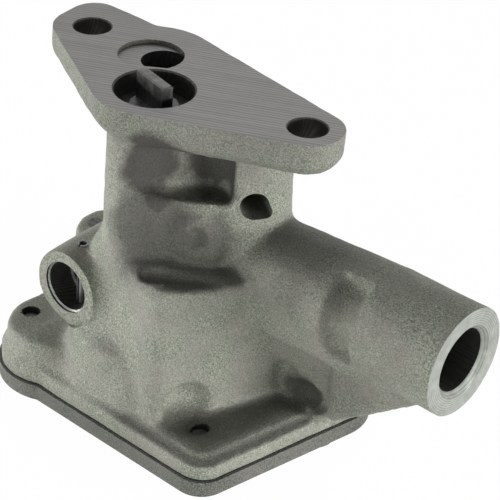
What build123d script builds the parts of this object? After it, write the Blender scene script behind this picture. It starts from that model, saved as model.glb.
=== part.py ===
from build123d import *
import math
import os

# The origin is where the drive shaft's axis meets the mounting face. Z points up, out of that face,
# X along the inlet tube towards its mouth, and minus Y along the relief bore towards its mouth.

# Mounting flange
flange_thickness = 9.5
flange_edge_round = 2.6
bolt_spacing = 76.2
bolt_pattern_x = 1.8
bolt_row_y = 13.4
bolt_hole_radius = 5.15
bolt_ear_radius = 9.6
flange_left_corner = (-41.3, 19.5)
flange_left_corner_radius = 7.0
flange_front_radius = 15.7
flange_port_radius = 17.5
flange_notch_fillet = 6.0

# Bores in the mounting face
pilot_radius = 10.5
pilot_depth = 6.0
port_centre = (-14.0, 13.1)
port_radius = 8.9
port_depth = 4.5
port_wall = 1.2
outlet_centre = (-10.6, 14.6)
outlet_radius = 6.2

# Neck between the flange and the gear housing
shaft_column_radius = 11.7
outlet_column_radius = 11.5
right_column_centre = (20.0, 15.0)
right_column_radius = 12.0
neck_draft = 1.0
waist_floor_z = -23.5
waist_ends = [(4.5, 19.6, 9.8), (16.2, 12.0, 6.2)]
skirt_circles = [(2.0, -1.0, 14.0), (-10.0, 12.0, 11.6)]
skirt_top_z = -26.0
skirt_bottom_z = -54.0
skirt_slope = 5.0
vent_radius = 3.9
vent_depth = 14.0
vent_z = -25.0
vent_turn = 38.0

# Drive shaft and its tang
shaft_radius = 6.35
running_clearance = 0.03
tang_width = 3.2
tang_height = 7.5
tang_above_face = 3.0
tang_turn = 166.6
tang_chamfer = 0.4
shaft_end_gap = 0.3

# Gears
gear_teeth = 10
gear_module = 2.9
pressure_angle = 25.0
gear_backlash = 0.16
gear_length = 16.0
gear_side_clearance = 0.05
gear_tip_clearance = 0.06
idler_shaft_into_body = 8.0

# Levels of the cover joint
joint_depth = 90.5
gasket_thickness = 0.4
cover_thickness = 5.0
cover_edge_round = 0.8
rim_height = 4.5
rim_inset = 0.8
rim_shelf = 1.0

# Outline of the cover, as round corners: x, y, radius
corner_front_left = (-24.5, -9.0, 15.4)
corner_front_left_bulge = 1.6
corner_front_right = (37.5, -16.4, 8.0)
corner_right = (38.5, 30.0, 15.0)
corner_back_right = (24.0, 40.5, 14.5)
corner_back_left = (-24.0, 40.5, 14.5)
corner_left = (-40.0, 27.0, 14.0)

# Gear housing above the joint
housing_wall = 3.5
housing_height = 19.5
shoulder_height = 6.5
shoulder_slope = 38.0
left_lobe_height = 20.0
front_lobe_height = 11.3
front_pad_height = 6.0
apron_height = 7.0
apron_slope = 30.0

# Upright block over the gears and the inlet's way down: its plan, and its top as y, z along the tube
block_plan = [(-4.0, -4.5, 9.0), (21.0, -14.6, 5.4), (31.8, 24.8, 9.0), (-4.0, 30.0, 12.0)]
block_top = [(-30, -42.5), (45, -55)]
block_edge_round = 4.0
front_slope_plan = [(-4.0, -4.0, 18.4), (9.0, -6.0, 16.4)]
front_slope_top_z = -52.0
front_slope = 14.0

# Inlet tube and the channel that leads down to the gears, its side as y, z and its front as x, z
channel_side = [(4.5, -60), (4.0, -50), (6.0, -41), (10.5, -33.5), (16, -30.6), (22, -32), (28, -38), (32, -60)]
channel_front = [(10, -60), (14, -54), (36, -42), (50, -33.5), (58, -31), (67, -30.4), (68, -36), (67, -58)]
inlet_y = 16.0
inlet_z = -45.0
inlet_reach = 92.8
inlet_radius = 14.8
inlet_root_radius = 12.3
inlet_root_x = 69.5
inlet_neck_x = 64.0
inlet_bore_radius = 8.7
inlet_bore_depth = 24.0
inlet_passage_radius = 7.9
inlet_chamfer = 1.4
inlet_edge_chamfer = 0.9
web_thickness = 13.0
web_foot_x = 57.0
inner_web_thickness = 6.0
inner_web_offset = 2.0
inner_web_x = 38.0
web_reach = 87.5
downcomer_x = 27.0
downcomer_radius = 7.0

# Relief valve
relief_x = -14.0
relief_z = -59.8
relief_mouth_y = -16.4
relief_boss_radius = 10.7
relief_boss_root_radius = 12.0
relief_mouth_radius = 7.05
relief_mouth_depth = 7.9
relief_bore_radius = 5.8
relief_seat_y = 6.5
relief_seat_radius = 4.2
plunger_length = 10.0
plunger_crown = 2.5
plunger_wall = 1.3
plunger_clearance = 0.04
plunger_seat_gap = 0.02
relief_dump_radius = 2.2
retaining_pin_radius = 1.55
retaining_pin_y = -10.6
retaining_pin_wall = 0.5
retaining_pin_overlap = 2.0
spring_wire_radius = 0.6
spring_coil_radius = 3.3
spring_turns = 4.0
spring_end_gap = 0.1

# Cover screws
screw_pad_front_left = (-32.7, -12.2)
screw_pad_front_right = (32.7, -12.2)
screw_right = (44.3, 22.5)
screw_left = (-44.3, 24.5)
screw_back_right = (28.0, 45.0)
screw_back_left = (-28.0, 45.0)
screw_boss_height = 16.0
screw_thread_radius = 2.55
screw_thread_clearance = 0.05
screw_shank_radius = 3.1
screw_hole_radius = 3.4
screw_engagement = 9.5
screw_tip_below_pad = 1.2
screw_tip_chamfer = 0.5
screw_blind_extra = 2.5
screw_head_height = 2.4
screw_head_radius = 5.5
screw_head_edge = 0.7
screw_socket_width = 4.0
screw_socket_depth = 1.4
screw_boss_radius = 7.4
washer_thickness = 0.8
washer_radius = 5.6
washer_gap = 1.0

joint_z = -joint_depth
gear_pitch_radius = gear_module * gear_teeth / 2
gear_distance = 2 * gear_pitch_radius
gear_tip_radius = gear_pitch_radius + gear_module
gear_root_radius = gear_pitch_radius - 1.2 * gear_module
chamber_radius = gear_tip_radius + gear_tip_clearance
chamber_height = gear_length + 2 * gear_side_clearance
chamber_roof_z = joint_z + chamber_height
shaft_bore_radius = shaft_radius + running_clearance
housing_radius = chamber_radius + housing_wall
mesh_y = gear_distance / 2
cover_top_z = joint_z - gasket_thickness
cover_bottom_z = cover_top_z - cover_thickness
screws = [
    screw_pad_front_left,
    screw_pad_front_right,
    screw_right,
    screw_left,
    screw_back_right,
    screw_back_left,
]
through_heights = [front_lobe_height, front_pad_height, front_pad_height]
cover_corners = [
    corner_front_left,
    corner_front_right,
    corner_right,
    corner_back_right,
    corner_back_left,
    corner_left,
]


def disc(x, y, radius):
    return Pos(x, y) * Circle(radius)


def hull_of(circles):
    edges = []
    for x, y, radius in circles:
        edges += disc(x, y, radius).edges()
    return make_hull(edges)


def column(sketch, low, high):
    return extrude(Pos(0, 0, low) * sketch, amount=high - low, dir=(0, 0, 1))


def drafted(circles, low, high, slope):
    # The sides lean inwards by slope degrees from the low end to the high end
    shrink = abs(high - low) * math.tan(math.radians(slope))
    smaller = [(x, y, radius - shrink) for x, y, radius in circles]
    sections = [Pos(0, 0, low) * hull_of(circles), Pos(0, 0, high) * hull_of(smaller)]
    return loft(sections, ruled=True)


def rod(start, end, radius, end_radius=None):
    axis = Vector(*end) - Vector(*start)
    plane = Plane(origin=start, z_dir=axis)
    if end_radius is None or end_radius == radius:
        shape = Cylinder(radius, axis.length, align=(Align.CENTER, Align.CENTER, Align.MIN))
    else:
        shape = Cone(radius, end_radius, axis.length, align=(Align.CENTER, Align.CENTER, Align.MIN))
    return plane.location * shape


def slice_along_x(profile):
    return extrude(Plane.YZ * make_face(Polyline(*profile, close=True)), amount=inlet_reach, both=True)


def slice_along_y(profile):
    return extrude(Plane.XZ * make_face(Polyline(*profile, close=True)), amount=inlet_reach, both=True)


def cover_outline(inset=0.0):
    corners = [(x, y, radius - inset) for x, y, radius in cover_corners]
    x, y, radius = corner_front_left
    return hull_of(corners) + disc(x, y, radius + corner_front_left_bulge - inset)


def flange_outline():
    left = (bolt_pattern_x - bolt_spacing / 2, bolt_row_y, bolt_ear_radius + 1.2)
    right = (bolt_pattern_x + bolt_spacing / 2, bolt_row_y, bolt_ear_radius)
    corner = (*flange_left_corner, flange_left_corner_radius)
    front = (-1.0, 0.0, flange_front_radius)
    level = flange_left_corner[1] + flange_left_corner_radius
    back = (outlet_centre[0], level - outlet_column_radius, outlet_column_radius)
    port = (*port_centre, flange_port_radius)
    outline = hull_of([left, corner, front, back]) + hull_of([front, port, right])
    notch = outline.vertices().sort_by_distance((port_centre[0] - flange_port_radius, level))[0]
    return fillet(notch, flange_notch_fillet)


def flange():
    slab = column(flange_outline(), -flange_thickness, 0)
    return fillet(slab.faces().sort_by(Axis.Z)[0].outer_wire().edges(), flange_edge_round)


def neck():
    top = -flange_thickness / 2
    bottom = chamber_roof_z + 2
    columns = [
        (0, 0, shaft_column_radius),
        (port_centre[0] + 2, port_centre[1] + 1, outlet_column_radius),
        (*right_column_centre, right_column_radius),
    ]
    skirt = drafted(skirt_circles, skirt_bottom_z, skirt_top_z, skirt_slope)
    # A waist in the front face under the flange, its circles given along and out from that face
    turn = math.degrees(math.atan2(right_column_centre[1], right_column_centre[0]))
    waist = column(hull_of([(along, -out, radius) for along, out, radius in waist_ends]), waist_floor_z, top)
    return drafted(columns, top, bottom, -neck_draft) + skirt - Rot(0, 0, turn) * waist


def gear_housing():
    pair = [(0, 0, housing_radius), (0, gear_distance, housing_radius)]
    walls = column(hull_of(pair), joint_z + rim_height / 2, joint_z + housing_height)
    shoulder = drafted(
        pair,
        joint_z + housing_height,
        joint_z + housing_height + shoulder_height,
        shoulder_slope,
    )
    return walls + shoulder


def rim():
    band = column(cover_outline(rim_inset), joint_z, joint_z + rim_height)
    inner = [(x, y, radius - rim_inset - rim_shelf) for x, y, radius in cover_corners]
    apron = drafted(inner, joint_z + rim_height / 2, joint_z + apron_height, apron_slope)
    return band + apron


def block():
    low = joint_z + rim_height / 2
    under_top = slice_along_x([(block_top[0][0], joint_z), *block_top, (block_top[1][0], joint_z)])
    walls = column(hull_of(block_plan), low, -flange_thickness) & under_top
    walls = fillet(walls.faces().sort_by(Axis.Z)[-1].edges(), block_edge_round)
    return walls + drafted(front_slope_plan, low, front_slope_top_z, front_slope)


def lobes():
    inset = rim_inset + 1.8
    x, y, radius = corner_front_left
    ear = disc(x, y, radius + corner_front_left_bulge - inset)
    front = column(ear, joint_z, joint_z + front_lobe_height)
    x, y, radius = corner_left
    left_profile = hull_of([(x, y, radius - inset), (relief_x, mesh_y, outlet_column_radius)])
    left = column(left_profile, joint_z, joint_z + left_lobe_height)
    solid = front + left
    for x, y in (screw_back_right, screw_back_left):
        solid += column(disc(x, y, screw_boss_radius), joint_z, joint_z + screw_boss_height)
    return solid


def inlet_channel():
    # The roof over the passage, from the wall up to the root of the tube
    return slice_along_x(channel_side) & slice_along_y(channel_front)


def inlet_tube():
    root = rod((downcomer_x, inlet_y, inlet_z), (inlet_neck_x, inlet_y, inlet_z), inlet_root_radius)
    flare = rod(
        (inlet_neck_x, inlet_y, inlet_z),
        (inlet_root_x, inlet_y, inlet_z),
        inlet_root_radius,
        inlet_radius,
    )
    edge = inlet_reach - inlet_edge_chamfer
    tube = rod((inlet_root_x, inlet_y, inlet_z), (edge, inlet_y, inlet_z), inlet_radius)
    face_radius = inlet_radius - inlet_edge_chamfer
    lip = rod((edge, inlet_y, inlet_z), (inlet_reach, inlet_y, inlet_z), inlet_radius, face_radius)
    outline = Polyline(
        (web_foot_x, joint_z + rim_height + 6),
        (web_foot_x + 4, joint_z + 14),
        (web_foot_x + 17, inlet_z - inlet_radius - 7),
        (web_reach, inlet_z - inlet_radius + 1.5),
        (web_reach, inlet_z),
        (web_foot_x, inlet_z),
        close=True,
    )
    web = extrude(Plane.XZ * make_face(outline), amount=web_thickness / 2, both=True)
    outline = Polyline(
        (inner_web_x, joint_z + rim_height),
        (web_foot_x - 7, joint_z + rim_height),
        (web_foot_x + 4, joint_z + 14),
        (web_foot_x + 4, inlet_z),
        (inner_web_x, inlet_z),
        close=True,
    )
    inner_web = extrude(Plane.XZ * make_face(outline), amount=inner_web_thickness / 2, both=True)
    web += Pos(0, inner_web_offset, 0) * inner_web
    return root + flare + tube + lip + Pos(0, inlet_y, 0) * web


def relief_boss():
    mouth = (relief_x, relief_mouth_y, relief_z)
    end = (relief_x, port_centre[1] + 1, relief_z)
    return rod(mouth, end, relief_boss_radius, relief_boss_root_radius)


def screw_pads():
    # Pockets down to the flat pads that three of the cover screws come up through
    level = joint_z + front_pad_height
    x, y = screw_pad_front_right
    front = drafted([(x, y, 4.8), (x, y - 1.5, 4.8)], level, level + 8, -8)
    x, y = screw_right
    right = drafted([(x, y, 4.8), (x - 4.5, y - 8.5, 3.6)], level, level + 8, -10)
    lobe_level = joint_z + front_lobe_height
    x, y = screw_pad_front_left
    left = column(hull_of([(x, y, 8.2), (x - 14, y - 6, 10.0)]), lobe_level, lobe_level + 7)
    return [front, right, left]


def port_cut():
    x, y = port_centre
    reach = math.hypot(outlet_centre[0], outlet_centre[1])
    along = Vector(outlet_centre[0] / reach, outlet_centre[1] / reach)
    edge = pilot_radius + port_wall
    keep = Plane(origin=(along.X * edge, along.Y * edge), x_dir=along).location * Rectangle(
        4 * port_radius, 8 * port_radius, align=(Align.MIN, Align.CENTER)
    )
    return column(disc(x, y, port_radius) & keep, 0, -port_depth)


def passages():
    outlet_x, outlet_y = outlet_centre
    low_end = (-17, mesh_y, joint_z + chamber_height / 2)
    suction = hull_of([(6, mesh_y, 6.5), (downcomer_x, inlet_y, downcomer_radius)])
    cuts = [
        column(disc(outlet_x, outlet_y, outlet_radius), 0, chamber_roof_z + 1),
        port_cut(),
        column(hull_of([(-6, mesh_y, 6.0), (-20, mesh_y, 6.0)]), joint_z, chamber_roof_z),
        rod((outlet_x, outlet_y, chamber_roof_z + 2), low_end, outlet_radius - 0.6),
        column(suction, joint_z, chamber_roof_z),
        column(disc(downcomer_x, inlet_y, downcomer_radius), chamber_roof_z, inlet_z),
    ]
    bore_end = inlet_reach - inlet_bore_depth
    mouth = (inlet_reach, inlet_y, inlet_z)
    cuts.append(rod((bore_end, inlet_y, inlet_z), mouth, inlet_bore_radius))
    cuts.append(rod((downcomer_x, inlet_y, inlet_z), (bore_end, inlet_y, inlet_z), inlet_passage_radius))
    start = (inlet_reach - inlet_chamfer, inlet_y, inlet_z)
    cuts.append(rod(start, mouth, inlet_bore_radius, inlet_bore_radius + inlet_chamfer))
    return cuts


def gear_cuts():
    return [
        column(disc(0, 0, chamber_radius), joint_z, chamber_roof_z),
        column(disc(0, gear_distance, chamber_radius), joint_z, chamber_roof_z),
        column(disc(0, gear_distance, shaft_radius), chamber_roof_z, chamber_roof_z + idler_shaft_into_body),
        column(disc(0, 0, shaft_bore_radius), chamber_roof_z, 0),
        column(disc(0, 0, pilot_radius), -pilot_depth, 0),
    ]


def relief_cuts():
    mouth = (relief_x, relief_mouth_y, relief_z)
    seat = (relief_x, relief_seat_y, relief_z)
    bottom = relief_z - relief_mouth_radius - retaining_pin_overlap
    top = relief_z + relief_boss_root_radius + 2
    left = (relief_x - relief_boss_root_radius - 12, relief_seat_y - plunger_length / 2, relief_z)
    return [
        rod(seat, mouth, relief_bore_radius),
        rod((relief_x, relief_mouth_y + relief_mouth_depth, relief_z), mouth, relief_mouth_radius),
        rod((relief_x, outlet_centre[1], relief_z), seat, relief_seat_radius),
        rod((relief_x, retaining_pin_y, bottom), (relief_x, retaining_pin_y, top), retaining_pin_radius),
        rod((relief_x, left[1], relief_z), left, relief_dump_radius),
    ]


def screw_holes():
    holes = []
    for index, (x, y) in enumerate(screws):
        if index < len(through_heights):
            top = joint_z + through_heights[index] + 1
        else:
            top = joint_z + screw_engagement + screw_blind_extra
        holes.append(column(disc(x, y, screw_thread_radius + screw_thread_clearance), joint_z, top))
    return holes


def flange_holes():
    first = bolt_pattern_x - bolt_spacing / 2
    spots = [(first, bolt_row_y), (first + bolt_spacing, bolt_row_y)]
    return [column(disc(x, y, bolt_hole_radius), 0, -flange_thickness - 1) for x, y in spots]


def vent_cut():
    angle = math.radians(-vent_turn)
    x, y = right_column_centre
    across, along = math.cos(angle), math.sin(angle)
    reach = 2 * right_column_radius
    low = right_column_radius + 1 - vent_depth
    start = (x + low * across, y + low * along, vent_z)
    return rod(start, (x + reach * across, y + reach * along, vent_z), vent_radius)


def pump_body():
    body = flange() + neck()
    for form in (gear_housing, rim, block, lobes, inlet_channel, inlet_tube, relief_boss):
        body += form()
    cuts = screw_pads() + passages() + gear_cuts() + relief_cuts() + screw_holes() + flange_holes()
    for cut in cuts + [vent_cut()]:
        body -= cut
    return body


def cover_plate():
    plate = column(cover_outline(), cover_bottom_z, cover_top_z)
    plate = fillet(plate.faces().sort_by(Axis.Z)[0].outer_wire().edges(), cover_edge_round)
    for x, y in screws:
        plate -= column(disc(x, y, screw_hole_radius), cover_bottom_z, cover_top_z)
    return plate


def cover_gasket():
    sheet = column(cover_outline(rim_inset), cover_top_z, joint_z)
    opening = hull_of([(0, 0, chamber_radius + 0.5), (0, gear_distance, chamber_radius + 0.5)])
    opening += hull_of([(0, mesh_y, 6.5), (-20, mesh_y, 6.5)])
    opening += hull_of([(0, mesh_y, 7.0), (downcomer_x, inlet_y, downcomer_radius + 0.5)])
    sheet -= column(opening, cover_top_z, joint_z)
    for x, y in screws:
        sheet -= column(disc(x, y, screw_hole_radius), cover_top_z, joint_z)
    return sheet


def drive_shaft():
    length_top = tang_above_face - tang_height
    round_part = column(disc(0, 0, shaft_radius), joint_z + shaft_end_gap, length_top)
    blade = Rot(0, 0, tang_turn) * Rectangle(4 * shaft_radius, tang_width) & Circle(shaft_radius)
    shaft = round_part + column(blade, length_top, tang_above_face)
    return chamfer(shaft.faces().sort_by(Axis.Z)[-1].edges(), tang_chamfer)


def tooth_profile(turn):
    # One tooth between its root feet, with involute flanks
    base = gear_pitch_radius * math.cos(math.radians(pressure_angle))
    pitch_roll = math.tan(math.radians(pressure_angle))
    half = math.pi / (2 * gear_teeth) - gear_backlash / (4 * gear_pitch_radius)
    half += pitch_roll - math.radians(pressure_angle)

    def flank(radius):
        roll = math.sqrt(max((radius / base) ** 2 - 1, 0))
        return half - (roll - math.atan(roll))

    start = max(base, gear_root_radius)
    radii = [start + (gear_tip_radius - start) * step / 4 for step in range(5)]

    def point(radius, angle):
        angle += math.radians(turn)
        return (radius * math.cos(angle), radius * math.sin(angle))

    foot = gear_root_radius - 0.4
    left = Spline(*[point(r, flank(r)) for r in radii])
    right = Spline(*[point(r, -flank(r)) for r in radii])
    tip = Line(left @ 1, right @ 1)
    left_foot = Line(point(foot, half), left @ 0)
    right_foot = Line(right @ 0, point(foot, -half))
    base_line = Line(right_foot @ 1, left_foot @ 0)
    return make_face(Curve() + [left, right, tip, left_foot, right_foot, base_line])


def gear_blank(turn):
    profile = Circle(gear_root_radius)
    for tooth in range(gear_teeth):
        profile += tooth_profile(turn + tooth * 360 / gear_teeth)
    return profile


def drive_gear():
    low = joint_z + gear_side_clearance
    # A tooth points at the idler
    profile = gear_blank(90) - Circle(shaft_radius)
    return column(profile, low, low + gear_length)


def idler_gear():
    low = joint_z + gear_side_clearance
    # A gap faces the driven gear
    profile = gear_blank(90 + 180 / gear_teeth) - Circle(shaft_bore_radius)
    return Pos(0, gear_distance, 0) * column(profile, low, low + gear_length)


def idler_shaft():
    top = chamber_roof_z + idler_shaft_into_body
    shaft = column(disc(0, gear_distance, shaft_radius), joint_z + shaft_end_gap, top)
    return chamfer(shaft.faces().sort_by(Axis.Z)[0].edges(), 0.5)


def relief_plunger():
    radius = relief_bore_radius - plunger_clearance
    closed = (relief_x, relief_seat_y - plunger_seat_gap, relief_z)
    skirt = (relief_x, relief_seat_y - plunger_length, relief_z)
    cup = rod(skirt, closed, radius)
    cup = chamfer(cup.edges().sort_by(Axis.Y)[-1], 0.6)
    inner = (relief_x, relief_seat_y - plunger_crown, relief_z)
    return cup - rod(skirt, inner, radius - plunger_wall)


def relief_spring():
    end_gap = spring_wire_radius + spring_end_gap
    start = relief_seat_y - plunger_crown - end_gap
    stop = retaining_pin_y + retaining_pin_radius + end_gap
    height = start - stop
    path = Helix(pitch=height / spring_turns, height=height, radius=spring_coil_radius)
    ring = Plane(origin=path @ 0, z_dir=path % 0) * Circle(spring_wire_radius)
    coil = sweep(ring, path, is_frenet=True)
    return Plane(origin=(relief_x, start, relief_z), z_dir=(0, -1, 0)).location * coil


def relief_retaining_pin():
    bottom = relief_z - relief_mouth_radius - retaining_pin_overlap
    top = relief_z + relief_boss_radius + 0.6
    pin = rod((relief_x, retaining_pin_y, bottom), (relief_x, retaining_pin_y, top), retaining_pin_radius)
    pin -= rod(
        (relief_x, retaining_pin_y, bottom),
        (relief_x, retaining_pin_y, top),
        retaining_pin_radius - retaining_pin_wall,
    )
    slot = Pos(relief_x, retaining_pin_y - retaining_pin_radius, (bottom + top) / 2)
    return pin - slot * Box(0.5, 2 * retaining_pin_radius, top - bottom)


def cover_screw(index):
    x, y = screws[index]
    head_top = cover_bottom_z - washer_thickness
    head_low = head_top - screw_head_height
    tip = joint_z + screw_engagement
    if index < len(through_heights):
        tip = min(tip, joint_z + through_heights[index] - screw_tip_below_pad)
    socket = Pos(x, y) * RegularPolygon(screw_socket_width / 2, 6, major_radius=False)
    head = column(disc(x, y, screw_head_radius), head_low, head_top)
    head -= column(socket, head_low, head_low + screw_socket_depth)
    head = chamfer(head.faces().sort_by(Axis.Z)[0].outer_wire().edges(), screw_head_edge)
    shank = column(disc(x, y, screw_shank_radius), head_top, cover_top_z)
    thread = column(disc(x, y, screw_thread_radius), cover_top_z, tip)
    thread = chamfer(thread.faces().sort_by(Axis.Z)[-1].edges(), screw_tip_chamfer)
    return head + shank + thread


def cover_lock_washer(index):
    x, y = screws[index]
    low = cover_bottom_z - washer_thickness
    ring = disc(x, y, washer_radius) - disc(x, y, screw_shank_radius + 0.1)
    ring -= Pos(x + washer_radius / 2 + 1, y) * Rectangle(washer_radius + 2, washer_gap)
    return column(ring, low, cover_bottom_z)


def main():
    os.makedirs("parts", exist_ok=True)
    pieces = {
        "pump_body": pump_body(),
        "cover_plate": cover_plate(),
        "cover_gasket": cover_gasket(),
        "drive_shaft": drive_shaft(),
        "drive_gear": drive_gear(),
        "idler_gear": idler_gear(),
        "idler_shaft": idler_shaft(),
        "relief_plunger": relief_plunger(),
        "relief_spring": relief_spring(),
        "relief_retaining_pin": relief_retaining_pin(),
    }
    for index in range(len(screws)):
        pieces[f"cover_screw_{index + 1}"] = cover_screw(index)
        pieces[f"cover_lock_washer_{index + 1}"] = cover_lock_washer(index)
    for name, shape in pieces.items():
        export_step(shape, f"parts/{name}.step")


main()
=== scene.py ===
# %% [markdown]
# # An engine oil pump, cast in iron and machined where it mates
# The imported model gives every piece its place, in metres: the origin is where the drive shaft meets the
# mounting face, Z points up out of that face, X along the inlet tube and minus Y out of the relief bore.
# The solids are exact but bare. This script gives the pump what a foundry and a machine shop give it:
# soft sand-cast skin, crisp milled faces and bored holes, and steel pieces with their own finishes.

# %% Load the frame
import bpy
import bmesh
import math
from mathutils import Matrix, Vector, noise


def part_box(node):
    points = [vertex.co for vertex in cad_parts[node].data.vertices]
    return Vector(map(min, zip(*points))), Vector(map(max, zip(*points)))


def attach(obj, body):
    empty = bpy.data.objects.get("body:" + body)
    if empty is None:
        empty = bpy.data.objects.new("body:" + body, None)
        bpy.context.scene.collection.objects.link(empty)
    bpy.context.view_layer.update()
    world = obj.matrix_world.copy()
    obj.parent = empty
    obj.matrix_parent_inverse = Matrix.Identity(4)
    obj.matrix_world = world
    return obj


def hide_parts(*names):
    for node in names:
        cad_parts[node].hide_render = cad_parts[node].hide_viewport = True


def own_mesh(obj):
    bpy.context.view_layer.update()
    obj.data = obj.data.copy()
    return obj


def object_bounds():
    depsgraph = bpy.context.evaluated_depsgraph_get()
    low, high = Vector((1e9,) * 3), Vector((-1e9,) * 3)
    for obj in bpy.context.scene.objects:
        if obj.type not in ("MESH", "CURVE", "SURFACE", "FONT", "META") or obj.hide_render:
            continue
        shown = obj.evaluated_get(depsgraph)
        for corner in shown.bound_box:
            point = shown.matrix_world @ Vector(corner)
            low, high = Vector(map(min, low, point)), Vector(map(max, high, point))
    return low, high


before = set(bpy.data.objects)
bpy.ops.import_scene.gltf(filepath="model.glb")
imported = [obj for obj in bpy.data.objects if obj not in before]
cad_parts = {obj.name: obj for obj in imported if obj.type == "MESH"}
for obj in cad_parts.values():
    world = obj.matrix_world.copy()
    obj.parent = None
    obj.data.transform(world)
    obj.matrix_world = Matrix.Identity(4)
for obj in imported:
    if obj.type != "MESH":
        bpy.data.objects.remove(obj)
cad_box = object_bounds()
MM = 0.001
print("nodes", len(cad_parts), "box", [[round(c, 4) for c in corner] for corner in cad_box])

# %% [markdown]
# ## Camera
# A product photographer stands back and uses a long lens, so that parallel edges stay nearly parallel.
# The direction, tilt and distance come from matching the two flange holes, the tube's end and the cover's
# corners, and a lens of 137 mm on a 36 mm sensor gives the same gentle perspective.

# %% Camera
AZIMUTH, ELEVATION, ROLL = (math.radians(a) for a in (39.579, 32.143, 4.157))
LENS, SENSOR = 136.8, 36
CAMERA_PLACE = Vector((294.81, -313.94, 223.69)) * MM
right = Vector((math.cos(AZIMUTH), math.sin(AZIMUTH), 0))
ahead = Vector((
    -math.sin(AZIMUTH) * math.cos(ELEVATION),
    math.cos(AZIMUTH) * math.cos(ELEVATION),
    -math.sin(ELEVATION)))
up = right.cross(ahead)
side = right * math.cos(ROLL) + up * math.sin(ROLL)
top = up * math.cos(ROLL) - right * math.sin(ROLL)
camera = bpy.data.objects.new("camera", bpy.data.cameras.new("camera"))
bpy.context.scene.collection.objects.link(camera)
camera.data.lens = LENS
camera.data.sensor_width = SENSOR
camera.data.clip_end = 10
camera.matrix_world = Matrix.Translation(CAMERA_PLACE) @ Matrix((side, top, -ahead)).transposed().to_4x4()
bpy.context.scene.camera = camera
print("camera at", [round(v, 3) for v in camera.location])

# %% [markdown]
# ## Light
# In the photo the walls that look left and right are light, and what faces the camera or looks up is
# dark. So big soft lights stood low at both sides, and the white table threw light up between them. A
# single sun would draw hard shadows, and a bright world would flatten the casting. Three low area lamps
# give the same light, a weak one lifts the back, and the world is white only where the camera or a
# mirror looks at it.

# %% Lamps
MIDDLE = Vector((0.015, 0.01, -0.05))

def lamp_around(name, azimuth, elevation, size, power, distance=0.9):
    """A lamp that looks at the pump from an azimuth (0 is minus Y, 90 is X) and an elevation, in degrees."""
    turn, rise = math.radians(azimuth), math.radians(elevation)
    away = Vector((math.sin(turn) * math.cos(rise), -math.cos(turn) * math.cos(rise), math.sin(rise)))
    lamp = bpy.data.objects.new(name, bpy.data.lights.new(name, "AREA"))
    lamp.data.shape = "RECTANGLE"
    lamp.data.size, lamp.data.size_y = size
    lamp.data.energy = power
    lamp.location = MIDDLE + away * distance
    lamp.rotation_euler = (away * -distance).to_track_quat("-Z", "Y").to_euler()
    bpy.context.scene.collection.objects.link(lamp)

lamp_around("left_light", -64, 0, (0.6, 0.3), 7.8)
lamp_around("right_light", 99, 0, (0.5, 0.3), 13.6)
lamp_around("table_light", -8, -4, (0.4, 0.05), 0.46, distance=0.3)
lamp_around("back_light", 215, 50, (0.6, 0.5), 1.4)

# %% World
WORLD_LIGHT, WORLD_SEEN = 0.02, 1.0
world = bpy.data.worlds.new("studio")
bpy.context.scene.world = world
world.use_nodes = True
tree = world.node_tree
tree.nodes.clear()

def seen_directly(tree):
    """1 where the camera, a mirror or glass looks, and 0 for the light that falls on the object."""
    path = tree.nodes.new("ShaderNodeLightPath")
    first = tree.nodes.new("ShaderNodeMath")
    first.operation = "MAXIMUM"
    both = tree.nodes.new("ShaderNodeMath")
    both.operation = "MAXIMUM"
    tree.links.new(path.outputs["Is Camera Ray"], first.inputs[0])
    tree.links.new(path.outputs["Is Glossy Ray"], first.inputs[1])
    tree.links.new(first.outputs[0], both.inputs[0])
    tree.links.new(path.outputs["Is Transmission Ray"], both.inputs[1])
    return both.outputs[0]

strength = tree.nodes.new("ShaderNodeMapRange")
tree.links.new(seen_directly(tree), strength.inputs["Value"])
strength.inputs["To Min"].default_value = WORLD_LIGHT
strength.inputs["To Max"].default_value = WORLD_SEEN
backdrop = tree.nodes.new("ShaderNodeBackground")
backdrop.inputs["Color"].default_value = (1, 1, 1, 1)
tree.links.new(strength.outputs[0], backdrop.inputs["Strength"])
tree.links.new(backdrop.outputs[0], tree.nodes.new("ShaderNodeOutputWorld").inputs["Surface"])
bpy.context.scene.view_settings.view_transform = "Standard"
print("world", world.name, "lit", WORLD_LIGHT)

# %% [markdown]
# ## Floor
# The object stands on a white sheet that vanishes into the background. A plain white floor would turn
# grey away from the lamps. So the floor is a wide disc of white paper, and where the camera looks at it,
# it glows white through a mask, and only the pump's shadow dims the little paper that still shows.

# %% Floor
FLOOR_RADIUS, FLOOR_GAP = 3.0, 0.0004
GLOW, GLOW_AS_LIGHT, GLOW_SEEN = 1.03, 0.5, 0.95
bm = bmesh.new()
bmesh.ops.create_circle(bm, cap_ends=True, segments=96, radius=FLOOR_RADIUS)
bmesh.ops.translate(bm, verts=bm.verts, vec=(0, 0, cad_box[0][2] - FLOOR_GAP))
floor_mesh = bpy.data.meshes.new("floor")
bm.to_mesh(floor_mesh)
bm.free()
floor = bpy.data.objects.new("floor", floor_mesh)
bpy.context.scene.collection.objects.link(floor)

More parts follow.
